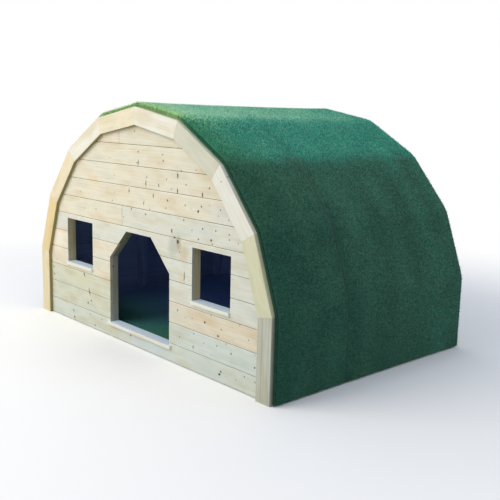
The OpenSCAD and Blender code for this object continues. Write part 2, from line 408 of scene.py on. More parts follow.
# The sills' upper faces take a painted pale blue reflection of the sky
SILL_PINE = pine(
    "planed pine sills", ["#EDEBDA", "#F0EEE0"], "#F8F4EA", "#F8F5EE", KNOT, knot_size=0.02, rough=0.45,
    stain="#DCF0FF")
FRAME_PINE = pine(
    "sawn pine framing", ["#858C80", "#B1B7AE", "#D1C8A2"], "#E6DAC0", "#EBE0CA", "#5E4A30", rough=0.72)
# The decking's edges and room face take the room's painted blue shade
DECK_PINE = pine(
    "sawn pine decking", ["#C9BC9C", "#D3C6A8"], "#E6E5E0", "#ECEAE4", "#4E4A44",
    rough=0.72, stain=ROOM_SHADE_BLUE)
# The room's timbers are painted blue for the dim shade inside the den
ROOM_PINE = pine(
    "stained pine of the room", ["#9CB0E0", "#A6BAEA"], "#E6E6E6", "#EAEAEA", "#3A4250", rough=0.75)
# The palest greens are painted sheen and sky light on top; the yellow fringe greens are painted sunlight on
# the front edge
ROOF_LOOK = {
    "greens": [(0.0, "#0C5042"), (0.3, "#4B785E"), (0.64, "#1CAE98"), (0.84, "#C6F8D2"), (1.0, "#E6FCEA")],
    "fringe_greens": [
        (0.0, "#0E4A36"), (0.3, "#226E40"), (0.68, "#1A8A50"), (0.84, "#CCF69C"), (1.0, "#E8FCC6")],
    "root": "#16291F",
    "sheen": 0.5,
}
# The floor's blues are painted shade inside the den; its turf is green only near the doorway, where daylight
# comes in
FLOOR_LOOK = {
    "greens": [(0.0, "#6080D4"), (0.5, "#296B4A"), (1.0, "#52A08C")],
    "fringe_greens": [(0.0, "#98B2E4"), (1.0, "#90ACD8")],
    "root": "#1C3A44",
    "sheen": 0.1,
}
ROOF_TURF = turf_material("polyethylene turf pile", fibres=False, **ROOF_LOOK)
ROOF_MAT = turf_material("polyethylene turf mat", fibres=True, **ROOF_LOOK)
FLOOR_TURF = turf_material("polyethylene floor turf", fibres=False, **FLOOR_LOOK)
FLOOR_MAT = turf_material("polyethylene floor turf mat", fibres=True, **FLOOR_LOOK)
NAIL_STEEL = nail_material()


# Shapes

def arch_corner(i, inset, foot):
    """Corner i of the arch in the plane of the front, moved inwards: half a regular polygon on two feet."""
    if i == 0:
        return np.array([-ARCH_W / 2 + inset, foot])
    if i == LAST_CORNER:
        return np.array([ARCH_W / 2 - inset, foot])
    angle = math.pi + TURN / 2 - TURN * i
    reach = ARCH_R - inset / math.cos(TURN / 2)
    return np.array([reach * math.cos(angle), ARCH_CENTRE_Z + reach * math.sin(angle)])


def arch_line(inset, foot):
    """All corners of the arch at an inset, from the left foot to the right foot."""
    return np.array([arch_corner(i, inset, foot) for i in range(LAST_CORNER + 1)])


def in_front(points, y):
    """Points in the plane of the front, carried to a depth."""
    points = np.asarray(points, float)
    return np.stack([points[..., 0], np.full(points.shape[:-1], y), points[..., 1]], axis=-1)


def build_mesh(name, points, corners, sizes):
    """A mesh from points, the corners of all faces in one row, and each face's number of corners."""
    mesh = bpy.data.meshes.new(name)
    mesh.vertices.add(len(points))
    mesh.vertices.foreach_set("co", np.ascontiguousarray(points, np.float32).ravel())
    mesh.loops.add(len(corners))
    mesh.loops.foreach_set("vertex_index", np.ascontiguousarray(corners, np.int32))
    mesh.polygons.add(len(sizes))
    mesh.polygons.foreach_set("loop_start", np.concatenate([[0], np.cumsum(sizes)[:-1]]).astype(np.int32))
    mesh.update(calc_edges=True)
    mesh.shade_flat()
    return mesh


def read_rows(items, key, width, kind=np.float32):
    """One property of all of a mesh's items, as rows of numbers."""
    rows = np.zeros(len(items) * width, kind)
    items.foreach_get(key, rows)
    return rows.reshape(-1, width)


def mark(mesh, domain, **values):
    """Stores named numbers on the faces or points of a mesh, for its material."""
    for key, row in values.items():
        layer = mesh.attributes.new(key, "FLOAT", domain)
        layer.data.foreach_set("value", np.asarray(row, np.float32).ravel())


def lay_map(mesh, name, u, v):
    """Lays a map on a mesh, from two numbers for each corner of its faces."""
    layer = mesh.uv_layers.get(name) or mesh.uv_layers.new(name=name)
    layer.data.foreach_set("uv", np.stack([u, v], axis=-1).astype(np.float32).ravel())


def grain_map(mesh):
    """Grain along x: the map is x, and height plus depth, which runs on round edges."""
    at = read_rows(mesh.vertices, "co", 3)[read_rows(mesh.loops, "vertex_index", 1, np.int32)[:, 0]]
    lay_map(mesh, "grain", at[:, 0], at[:, 1] + at[:, 2])


def outwards(mesh):
    """Turns the faces of closed solids outwards."""
    shape = bmesh.new()
    shape.from_mesh(mesh)
    bmesh.ops.recalc_face_normals(shape, faces=shape.faces)
    shape.to_mesh(mesh)
    shape.free()


def new_object(name, data):
    """An object at the origin of the scene."""
    made = bpy.data.objects.new(name, data)
    bpy.context.scene.collection.objects.link(made)
    return made


def finish_piece(name, mesh, material, stands_for=()):
    """Makes the piece, gives it its material, rides it on the den and hides the parts that it stands for."""
    piece = new_object(name, mesh)
    mesh.materials.append(material)
    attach(piece, BODY)
    if stands_for:
        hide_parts(*stands_for)
    return piece


def tube(n, stations=2):
    """Corners and sizes of a closed tube's faces, its rings of n points numbered in turn: quads from each
    ring to the next, then the two ends."""
    j = np.arange(n)
    k = (j + 1) % n
    sides = np.stack([j, k, n + k, n + j], axis=1) + n * np.arange(stations - 1)[:, None, None]
    corners = np.concatenate([sides.ravel(), j[::-1], n * (stations - 1) + j])
    return corners, [4] * (n * (stations - 1)) + [n, n]


def carried(name, rings):
    """Solids that carry a section straight from one end to the other: rings are the points round both ends.
    The grain map runs along each solid and round its section, from a chance start."""
    count, _, n, _ = rings.shape
    j = np.arange(n)
    faces, sizes = tube(n)
    face_round = np.concatenate([np.stack([j, j + 1, j + 1, j], axis=1).ravel(), j[::-1], j])
    corners = (np.arange(count)[:, None] * 2 * n + faces).ravel()
    way = rings[:, 1].mean(axis=1) - rings[:, 0].mean(axis=1)
    length = np.linalg.norm(way, axis=1, keepdims=True)
    along = np.einsum("nerc,nc->ner", rings, way / length)
    steps = np.linalg.norm(np.roll(rings[:, 0], -1, axis=1) - rings[:, 0], axis=2)
    around = np.concatenate([np.zeros((count, 1)), np.cumsum(steps, axis=1)], axis=1)
    start = rng.uniform(0, GRAIN_RUN, (count, 2))
    mesh = build_mesh(name, rings.reshape(-1, 3), corners, np.tile(sizes, count))
    u = along[:, faces // n, faces % n] + start[:, :1]
    lay_map(mesh, "grain", u, around[:, face_round] + start[:, 1:])
    outwards(mesh)
    return mesh


def planks(name, node, ends, material, tones=None, stained=(0, 0, 0, 0)):
    """Planks with eased edges: each end's four corners are cut back by the ease along both of their sides,
    and the eight points are carried to those of the other end. The last argument says which of the four sides
    take the material's painted shade."""
    ends = np.asarray(ends, float)
    count = len(ends)
    on = np.roll(ends, -1, axis=2) - ends
    on /= np.linalg.norm(on, axis=3, keepdims=True)
    back = -np.roll(on, 1, axis=2)
    rings = np.stack([ends + PLANK_EASE * back, ends + PLANK_EASE * on], axis=3)
    mesh = carried(name, rings.reshape(count, 2, 8, 3))
    if tones is None:
        tones = rng.uniform(0, 1, count)
    eased = np.minimum(stained, np.roll(stained, 1))
    faces = np.concatenate([np.stack([eased, stained], axis=1).ravel(), [0, 0]])
    mark(mesh, "FACE", tone=np.repeat(tones, len(faces)), stained=np.tile(faces, count))
    return finish_piece(name, mesh, material, [node])


def prism(name, outline, way):
    """A flat outline carried along a vector, closed at both ends."""
    outline = np.asarray(outline, float)
    mesh = build_mesh(name, np.concatenate([outline, outline + np.asarray(way)]), *tube(len(outline)))
    outwards(mesh)
    return mesh


def cut(mesh, kept, openings):
    """The boards inside the outline that is kept, less the openings."""
    work = new_object("boards_uncut", mesh)
    tools = [new_object("cutter", shape) for shape in [kept] + openings]
    for tool in tools:
        step = work.modifiers.new("cut", "BOOLEAN")
        step.operation = "INTERSECT" if tool is tools[0] else "DIFFERENCE"
        step.solver = "EXACT"
        step.object = tool
    graph = bpy.context.evaluated_depsgraph_get()
    made = bpy.data.meshes.new_from_object(work.evaluated_get(graph))
    for thing in [work] + tools:
        bpy.data.objects.remove(thing)
    return made


def board_section(low, high):
    """A board's section as depths behind its face and heights: a groove below, a tongue above, an open joint
    in front of them that shows as a dark line, and a bevel that catches the light."""
    half = JOINT_GAP / 2
    tongue_back = JOINT_DEPTH + TONGUE_T
    groove_front = JOINT_DEPTH - TONGUE_GAP
    groove_back = tongue_back + TONGUE_GAP
    groove_h = TONGUE_H + TONGUE_GAP
    below = [(0, half + JOINT_EASE), (JOINT_EASE, half), (groove_front, half), (groove_front, groove_h),
             (groove_back, groove_h), (groove_back, half), (WALL_T, half)]
    above = [(WALL_T, -half), (tongue_back, -half), (tongue_back, TONGUE_H), (JOINT_DEPTH, TONGUE_H),
             (JOINT_DEPTH, -half), (CATCH_DEPTH, -half), (0, -half - CATCH_H)]
    return np.array([(d, low + r) for d, r in below] + [(d, high + r) for d, r in above])


def boarding(name, wall_y, facing, tones, butt_joints, openings, material, stands_for):
    """Horizontal boards, cut to the arch and its openings. facing is -1 for faces that look to the front,
    1 for the rear. A board's tone goes by its course and its side of the middle or of its butt joint. Joints
    are grimy, the cut edges beside the openings a little, and the room side has the room's painted blue
    shade."""
    levels = np.concatenate([[WALL_LIFT - FOOT_OVERRUN], BOARD_JOINTS, [APEX_Z + TOP_OVERRUN]])
    face_y = wall_y if facing < 0 else wall_y + WALL_T
    reach = ARCH_W / 2 + CUT_OVERRUN
    rings = []
    for course in range(COURSES):
        section = board_section(levels[course], levels[course + 1])
        depth = face_y - facing * section[:, 0]
        stops = [-reach] + [x for c, x in butt_joints if c == course] + [reach]
        for left, right in zip(stops[:-1], stops[1:]):
            ends = (left + BUTT_GAP / 2, right - BUTT_GAP / 2)
            rings.append([np.stack([np.full(len(section), x), depth, section[:, 1]], axis=1) for x in ends])
    through = (0, WALL_T + 2 * CUT_OVERRUN, 0)
    kept, *tools = (
        prism("cutter", in_front(outline, wall_y - CUT_OVERRUN), through)
        for outline in [arch_line(DECK_T + BOARD_GAP, WALL_LIFT)] + openings)
    mesh = cut(carried(name + "_uncut", np.array(rings)), kept, tools)
    mesh.name = name
    mesh.shade_flat()
    grain_map(mesh)
    x, y, z = read_rows(mesh.polygons, "center", 3).T
    end_grain = np.abs(read_rows(mesh.polygons, "normal", 3)[:, 0]) > END_GRAIN_FROM
    course = np.clip(np.searchsorted(levels, z) - 1, 0, COURSES - 1)
    side = (x > 0).astype(int)
    behind = (face_y - y) * facing
    from_joint = np.abs(z[:, None] - BOARD_JOINTS).min(axis=1)
    grimy = (behind > CATCH_DEPTH) & (from_joint < TONGUE_H + JOINT_GAP) & ~end_grain
    for c, butt_x in butt_joints:
        side = np.where(course == c, x > butt_x, side)
        grimy |= np.abs(x - butt_x) < BUTT_GAP
    # Faces on the room side take the room's painted blue shade
    stained = behind > JOINT_DEPTH + TONGUE_T / 2
    tone = (np.array(tones) + rng.normal(0, BOARD_TONE_SPREAD, (COURSES, 2)))[course, side]
    grime = np.where(grimy, 1.0, REVEAL_GRIME * end_grain) * ~stained
    mark(mesh, "FACE", tone=tone, grimy=grime, stained=stained)
    return finish_piece(name, mesh, material, stands_for)


# Front and rear boards

DOOR_OPENING = [
    (-DOOR_SIDE, FRAME_W),
    (DOOR_SIDE, FRAME_W),
    (DOOR_SIDE, HEAD_Z - DOOR_CORNER),
    (DOOR_SIDE - DOOR_CORNER, HEAD_Z),
    (-DOOR_SIDE + DOOR_CORNER, HEAD_Z),
    (-DOOR_SIDE, HEAD_Z - DOOR_CORNER),
]
WINDOW_OPENINGS = [
    [(s * x, z) for x, z in (
        (WINDOW_IN, SILL_FOOT), (WINDOW_OUT, SILL_FOOT), (WINDOW_OUT, HEAD_Z), (WINDOW_IN, HEAD_Z))]
    for s in (-1, 1)
]
FRONT_WALLS = [f"front_wall_{n}" for n in (
    "gable left_side left_apron left_pier threshold door_corners right_pier right_apron right_side".split())]
FRONT_BUTTS = [(10, -0.187), (6, -0.161)]
REAR_BUTTS = [(9, 0.11), (4, -0.32)]
boarding("front_boards", BOARD_Y, -1, COURSE_TONES, FRONT_BUTTS, [DOOR_OPENING] + WINDOW_OPENINGS,
         FRONT_BOARD_PINE, FRONT_WALLS)
boarding("rear_boards", REAR_BOARD_Y, 1, COURSE_TONES[::-1], REAR_BUTTS, [], REAR_BOARD_PINE, ["rear_wall"])


# Trim, ribs and decking, which share the arch

def arch_members(first, last, outer, inner, y, thick):
    """Ends of straight arch members between two insets, mitred, so that the grain follows each."""
    made = []
    for i in range(first, last + 1):
        way = arch_corner(i + 1, outer, 0) - arch_corner(i, outer, 0)
        way *= MITRE_GAP / 2 / np.linalg.norm(way)
        ends = []
        for corner, gap in ((i, way), (i + 1, -way)):
            if corner in (0, LAST_CORNER):
                gap = 0
            edge = np.array([arch_corner(corner, inset, 0) + gap for inset in (outer, inner)])
            ends.append(np.concatenate([in_front(edge, y), in_front(edge[::-1], y + thick)]))
        made.append(ends)
    return made


TRIM_MEMBERS = ("post", 1, 2, 3, 4)
TRIM_NODES = [f"trim_left_{n}" for n in TRIM_MEMBERS] + [f"trim_right_{n}" for n in TRIM_MEMBERS[::-1]]
TRIM_TONES = [0.68, 0.78, 0.64, 0.44, 0.60, 0.42, 0.22, 0.38, 1.0, 0.5]
# Each member's second side, its inner side, is darkened with painted shade
for number, (node, tone) in enumerate(zip(TRIM_NODES, TRIM_TONES)):
    planks(node + "_board", node, arch_members(number, number, 0, TRIM_W, FRONT_Y, TRIM_T),
           POST_PINE if node == "trim_right_post" else TRIM_PINE, [tone], (0, 1, 0, 0))

for node, y in (("front_rib", FRAME_Y), ("middle_rib", MIDDLE_RIB_Y), ("rear_rib", REAR_FRAME_Y)):
    planks(node + "_members", node, arch_members(0, ROOF_SIDES + 1, DECK_T, ROOM_INSET, y, FRAME_T),
           ROOM_PINE)


def deck_boards(first, last):
    """Boards along the vault: each side of the section is shared out evenly between them, with gaps."""
    made = []
    for i in range(first, last + 1):
        outer = [arch_corner(i + e, 0, DECK_LIFT) for e in (0, 1)]
        inner = [arch_corner(i + e, DECK_T, DECK_LIFT) for e in (0, 1)]
        gap = DECK_GAP / 2 / np.linalg.norm(outer[1] - outer[0])
        for board in range(DECK_BOARDS_EACH):
            low = board / DECK_BOARDS_EACH + gap
            high = (board + 1) / DECK_BOARDS_EACH - gap
            section = [
                start + (stop - start) * share
                for (start, stop), share in ((outer, low), (outer, high), (inner, high), (inner, low))]
            made.append([in_front(section, BOARD_Y), in_front(section, REAR_Y)])
    return made


for node, first, last in (
        ("side_deck_left", 0, 0), ("roof_deck_left", 1, SIDES_EACH),
        ("roof_deck_right", SIDES_EACH + 1, ROOF_SIDES), ("side_deck_right", ROOF_SIDES + 1, ROOF_SIDES + 1)):
    planks(node + "_boards", node, deck_boards(first, last), DECK_PINE, stained=(0, 1, 1, 1))


# Sills and framing

def timber(y, *ends):
    """Ends of a timber across the den, as deep as the frame is thick: each end is a low and a high point in
    the plane of the front."""
    back = y + FRAME_T
    return [[(a, y, b), (a, back, b), (c, back, d), (c, y, d)] for (a, b), (c, d) in ends]


def level_plank(left, right, y, low, high):
    """Ends of a plank along x."""
    return timber(y, ((left, low), (left, high)), ((right, low), (right, high)))


def upright(left, y, low, high):
    """Ends of a post with a level foot, whose top is at two heights, at its left and at its right."""
    plan = ((left, y, 0), (left + FRAME_T, y, 1), (left + FRAME_T, y + FRAME_T, 1), (left, y + FRAME_T, 0))
    return [[(x, depth, low) for x, depth, _ in plan], [(x, depth, high[side]) for x, depth, side in plan]]


def studs(foot, y):
    """Two studs over the doorway's sides, cut to the slope of the ribs."""
    return [upright(-DOOR_SIDE - FRAME_T, y, foot, STUD_TOP[::-1]), upright(DOOR_SIDE, y, foot, STUD_TOP)]


def arch_height(x, inset):
    """Height of the arch at x and an inset, straight between its corners."""
    line = arch_line(inset, 0)
    return float(np.interp(x, line[1:-1, 0], line[1:-1, 1]))


def arch_half_width(z, inset):
    """Half width of the arch at a height and an inset, straight between its corners."""
    line = arch_line(inset, 0)[LAST_CORNER // 2:][::-1]
    return float(np.interp(z, line[:, 1], line[:, 0]))


def sill(node, left, right, top, horn):
    """A sill: its plan, with horns in front of the boards, carried up. Its upper face has a painted sky
    reflection.
    """
    nose_y = BOARD_Y - SILL_NOSE
    plan = [(left - horn, nose_y), (right + horn, nose_y), (right + horn, BOARD_Y), (right, BOARD_Y),
            (right, ROOM_Y), (left, ROOM_Y), (left, BOARD_Y), (left - horn, BOARD_Y)]
    if not horn:
        plan = [(left, nose_y), (right, nose_y), (right, ROOM_Y), (left, ROOM_Y)]
    name = node + "_board"
    mesh = prism(name, [(x, y, top - SILL_T) for x, y in plan], (0, 0, SILL_T))
    grain_map(mesh)
    faces = len(mesh.polygons)
    mark(mesh, "FACE", tone=np.full(faces, rng.uniform()), stained=np.arange(faces) == faces - 1)
    piece = finish_piece(name, mesh, SILL_PINE, [node])
    ease = piece.modifiers.new("eased edges", "BEVEL")
    ease.width = SILL_EASE
    ease.segments = 2
    return piece


sill("door_sill", -DOOR_SIDE, DOOR_SIDE, FRAME_W + SILL_T, SILL_HORN)
sill("left_window_sill", -WINDOW_OUT, -WINDOW_IN, WINDOW_SILL_Z, 0)
sill("right_window_sill", WINDOW_IN, WINDOW_OUT, WINDOW_SILL_Z, 0)

HEAD_TOP_Z = HEAD_Z + FRAME_W
HEAD_LOW = arch_half_width(HEAD_Z, ROOM_INSET)
HEAD_HIGH = arch_half_width(HEAD_TOP_Z, ROOM_INSET)
BRACE = FRAME_T * math.sqrt(2)
BRACE_FOOT_Z = HEAD_Z - DOOR_CORNER
BRACE_TOP_X = DOOR_SIDE - DOOR_CORNER
STUD_TOP = [arch_height(x, ROOM_INSET) for x in (DOOR_SIDE, DOOR_SIDE + FRAME_T)]
BEARER_STEP = (REAR_FRAME_Y - ROOM_Y - FRAME_T) / (FLOOR_BEARERS - 1)
FLOOR_LINES = np.linspace(-ROOM_HALF, ROOM_HALF, FLOOR_BOARDS + 1)

# A node, its material, its tones where they are chosen, and the ends of its timbers
FRAME_TIMBERS = [
    ("front_base_rail", FRAME_PINE, None,
     [level_plank(-ROOM_HALF, ROOM_HALF, FRAME_Y, 0, FRAME_W)]),
    ("front_head_rail", FRAME_PINE, None,
     [timber(FRAME_Y, *[((s * HEAD_LOW, HEAD_Z), (s * HEAD_HIGH, HEAD_TOP_Z)) for s in (-1, 1)])]),
    ("door_jambs", FRAME_PINE, [0.5] * 2,
     [upright(x, FRAME_Y, FRAME_W, (HEAD_Z, HEAD_Z)) for x in (-DOOR_SIDE - FRAME_T, DOOR_SIDE)]),
    ("window_jambs", FRAME_PINE, [1.0] * 4,
     [upright(x, FRAME_Y, FRAME_W, (HEAD_Z, HEAD_Z))
      for x in (-WINDOW_OUT - FRAME_T, -WINDOW_IN, WINDOW_IN - FRAME_T, WINDOW_OUT)]),
    ("window_sill_rails", FRAME_PINE, None,
     [level_plank(x, x + WINDOW_W, FRAME_Y, SILL_FOOT - FRAME_W, SILL_FOOT)
      for x in (-WINDOW_OUT, WINDOW_IN)]),
    ("door_corner_braces", FRAME_PINE, [0.0] * 2,
     [timber(FRAME_Y, ((s * DOOR_SIDE, BRACE_FOOT_Z), (s * DOOR_SIDE, BRACE_FOOT_Z + BRACE)),
             ((s * BRACE_TOP_X, HEAD_Z), (s * (BRACE_TOP_X + BRACE), HEAD_Z))) for s in (-1, 1)]),
    ("gable_studs", FRAME_PINE, None, studs(HEAD_TOP_Z, FRAME_Y)),
    ("rear_studs", ROOM_PINE, None, studs(FRAME_W, REAR_FRAME_Y)),
    ("rear_base_rail", ROOM_PINE, None,
     [level_plank(-ROOM_HALF, ROOM_HALF, REAR_FRAME_Y, 0, FRAME_W)]),
    ("floor_bearers", FRAME_PINE, None,
     [level_plank(-ROOM_HALF, ROOM_HALF, ROOM_Y + k * BEARER_STEP, 0, BEARER_H)
      for k in range(FLOOR_BEARERS)]),
]
for node, material, tones, ends in FRAME_TIMBERS:
    timbers = node[:-1] + "_timbers" if node.endswith("s") else node + "_timber"
    planks(timbers, node, ends, material, tones)
planks("floor_deck_boards", "floor_deck", [
    [in_front([(left, BEARER_H), (right, BEARER_H), (right, FLOOR_Z), (left, FLOOR_Z)], y)
     for y in (ROOM_Y, REAR_FRAME_Y)]
    for left, right in zip(FLOOR_LINES[:-1] + TONGUE_GAP, FLOOR_LINES[1:] - TONGUE_GAP)],
    ROOM_PINE)


# Nail heads on the front boards, along the frame behind them

NAIL_R = 0.0032
NAIL_H = 0.0005
NAIL_SIDES = 8
NAIL_INSET = 0.026
NAIL_STRAY_X = 0.003
NAIL_STRAY_Z = 0.004
NAIL_TRIM_GAP = 0.015
NAIL_LINES = (DOOR_SIDE + FRAME_T / 2, WINDOW_IN - FRAME_T / 2, WINDOW_OUT + FRAME_T / 2)


def nail_heads(name, at):
    """Low domes: a ring of points sunk in the face and one point in front of it, closed behind."""
    at = np.asarray(at, float)
    j = np.arange(NAIL_SIDES)
    angle = j * math.tau / NAIL_SIDES
    ring = in_front(NAIL_R * np.stack([np.cos(angle), np.sin(angle)], axis=1), NAIL_H)
    shape = np.concatenate([ring, [[0, -NAIL_H, 0]]])
    dome = np.stack([j, (j + 1) % NAIL_SIDES, np.full(NAIL_SIDES, NAIL_SIDES)], axis=1)
    one = np.concatenate([dome.ravel(), j[::-1]])
    corners = (np.arange(len(at))[:, None] * len(shape) + one).ravel()
    sizes = np.tile([3] * NAIL_SIDES + [NAIL_SIDES], len(at))
    mesh = build_mesh(name, (at[:, None] + shape).reshape(-1, 3), corners, sizes)
    outwards(mesh)
    return finish_piece(name, mesh, NAIL_STEEL)


nails = []
for x in [s * line for s in (-1, 1) for line in NAIL_LINES]:
    top = arch_height(x, TRIM_W + NAIL_TRIM_GAP) if abs(x) < DOOR_SIDE + FRAME_T else HEAD_Z
    for low, high in zip(BOARD_JOINTS[:-1], BOARD_JOINTS[1:]):
        for z in (low + NAIL_INSET, high - NAIL_INSET):
            if z < top:
                nails.append((x + rng.normal(0, NAIL_STRAY_X), BOARD_Y, z + rng.normal(0, NAIL_STRAY_Z)))
nail_heads("front_board_nails", nails)


# Turf: its section in metres, and how it rises to its edges and sinks into the seam

TURF_BEND = 0.20
CORNER_POINTS = 9
MAT_T = 0.0155
MAT_STATIONS = 13
BACKING_LIFT = 0.0003
ROOT_LIFT = 0.012
FRONT_RISE = 0.010
FRONT_RISE_FADE = 0.35
SIDE_RISE = 0.6
REAR_RISE = 0.006
REAR_RISE_FADE = 0.12
LEFT_TUCK = 1.5
TUCK_RATE = 2.5
TUCK_FROM = 0.2
SEAM_SINK = 0.022
SEAM_DEPTH = 0.0045
SEAM_TOP = 0.93
SEAM_FADE = 0.3
SEAM_ON_SIDES = 0.5
SHARP_EDGE = math.radians(40)

# Its tones, as shares of the range of greens, and the painted sheen of its top, by the slope's upward part
PALE_BEND = 0.36
PALE_FROM = 0.60
PALE_TO = 0.985
PALE_SHARE = 0.77
REAR_PALE = 0.21
FRONT_DEEP = 0.05
TOP_FADE = 0.21
SLOPE_DEEP = 0.6
SLOPE_FADE = 0.3
WAVE_TONE = 0.02
WAVE_CALM = 0.6
# Painted sunlight on the blades along the front edge
FRINGE_FADE = (0.08, 0.2)
FRINGE_SLOPE = 0.9
FRINGE_SHARE = 0.95
FRINGE_ON_SIDES = 0.2
MAT_PALEST = 0.62
MAT_EDGE_LIGHT = 0.25
SEAM_SHADE = 0.5
CUT_EDGE = 0.004
CUT_TIP = 0.8
BACKING_TIP = 0.35

# Nine chance waves in it: radians per metre across the vault and along it, and where each starts
WAVES = rng.normal(0, 1, (3, 9)) * np.array([[8.0], [22.0], [9.0]])

# Its pile: blades in metres, or as shares of the pile's height
PILE_PER_M2 = 85000
BLADE_W = (0.0022, 0.0034)
BLADE_H = (0.75, 1.15)
BLADE_LEAN = (0.2, 1.1)
BLADE_ROOT_TIP = 0.55
SEAM_BLADE_H = 0.3
TUFT = 0.008
TUFT_SPREAD = 0.30
BLADE_SPREAD = 0.25
EDGE_LIGHT_SPREAD = 0.6
SIDE_SPECKLE = 1.1
LIGHT_SHARE = 0.08
LIGHT_TONE = 0.22
TIP_SPILL = 0.009
LEAN_OUT_SHARE = 0.6
LIE_SPREAD = 0.6
EDGE_BLADES = 18000
EDGE_LEFT_END = -0.2
EDGE_DROP = 0.021
EDGE_SIDE_CUT = 0.7
EDGE_H = 0.4
EDGE_LEAN = (0.4, 1.0)
EDGE_SPILL = 0.016
REACH = 0.3
REACH_ON_TOP = 0.15
REACH_ON_SIDES = 1.1
UPRIGHT_FROM = 0.95
GROUND_CLEAR = 0.001
BACK = np.array([0.0, 1.0, 0.0])


def rounded_arch(lift, radius):
    """The arch's outline at a lift, each corner rounded to an arc of the radius: points, normals and the
    distance along it, from the left foot to the right."""
    places = []
    normals = []
    for i, corner in enumerate(arch_line(-lift, TURF_LIFT)):
        if i in (0, LAST_CORNER):
            places.append(corner)
            normals.append([-1.0 if i == 0 else 1.0, 0.0])
            continue
        angle = math.pi + TURN / 2 - TURN * i
        centre = corner - (radius / math.cos(TURN / 2)) * np.array([math.cos(angle), math.sin(angle)])
        for a in np.linspace(angle + TURN / 2, angle - TURN / 2, CORNER_POINTS):
            normals.append([math.cos(a), math.sin(a)])
            places.append(centre + radius * np.array(normals[-1]))
    places = np.array(places)
    run = np.concatenate([[0], np.cumsum(np.linalg.norm(np.diff(places, axis=0), axis=1))])
    return places, np.array(normals), run


ARCH_RUN = float(rounded_arch(ROOT_LIFT, TURF_BEND)[2][-1])


def painted_sheen_share(share):
    """How far the turf is painted paler, as sheen and sky light, at a share of the way round the arch, by how
    far a softer outline than the turf's own faces upwards: nothing on the sides, rising to the top."""
    _, slope, run = rounded_arch(0, PALE_BEND)
    upward = np.interp(share, run / run[-1], slope[:, 1])
    return np.clip((upward - PALE_FROM) / (PALE_TO - PALE_FROM), 0, 1)


def turf_tone(share, y):
    """Mean tone of the turf: the painted sheen and sky light on top, with the sides lighter and the top
    darker to the rear, the slopes deeper to the front, and a sum of chance waves for the brushed pile."""
    pale = painted_sheen_share(share)
    depth = (y - BOARD_Y) / DEN_L
    across, along, start = WAVES[..., None, None] if np.ndim(y) == 2 else WAVES[..., None]
    waves = np.sin(across * share * ARCH_RUN + along * y + start).sum(axis=0)
    brushed = WAVE_TONE * (1 - WAVE_CALM * pale) * waves
    sides = (1 - pale) * (REAR_PALE * depth - FRONT_DEEP)
    slope = SLOPE_DEEP * pale * (1 - pale) * np.exp(-(y - BOARD_Y) / SLOPE_FADE)
    return PALE_SHARE * pale + sides - TOP_FADE * pale * depth - slope + brushed


def rising(least, share):
    """From the least at a share of 0 in a straight line to 1."""
    return least + (1 - least) * share


def seam_open(upward):
    """How far the seam shows: most on the slopes, half on the sides, and closed on top."""
    steep = rising(SEAM_ON_SIDES, np.clip(upward / SEAM_FADE, 0, 1))
    return np.clip((SEAM_TOP - upward) / SEAM_FADE, 0, 1) * steep


def seam_clear(y, upward, least):
    """1 clear of the seam, falling with the distance where it shows, to the least share."""
    return 1 - seam_open(upward) * (1 - np.clip(np.abs(y - SEAM_Y) / SEAM_SINK, least, 1))


def turf_rise(y, sideways, upward):
    """How much taller the pile stands to its front and rear edges, and how far it sinks into the seam:
    exponentials of the distance. On the left it is pulled tight behind the trim."""
    tucked = LEFT_TUCK * np.clip(-TUCK_RATE * sideways - TUCK_FROM, 0, 1)
    most = FRONT_RISE * (rising(SIDE_RISE, upward) - tucked)
    front = most * np.exp(-(y - BOARD_Y) / FRONT_RISE_FADE)
    rear = REAR_RISE * np.exp(-(REAR_Y - y) / REAR_RISE_FADE)
    return front + rear - SEAM_DEPTH * seam_open(upward) * np.exp(-((y - SEAM_Y) / (SEAM_SINK / 2)) ** 2)


def front_sunlight(y, upward):
    """Share of yellower green, painted sunlight on the blades: an exponential from the front edge, most on
    top, longest on slopes.
    """
    fade = np.clip(FRINGE_FADE[0] + FRINGE_SLOPE * (1 - upward), *FRINGE_FADE)
    return FRINGE_SHARE * rising(FRINGE_ON_SIDES, upward ** 2) * np.exp(-(y - BOARD_Y) / fade)


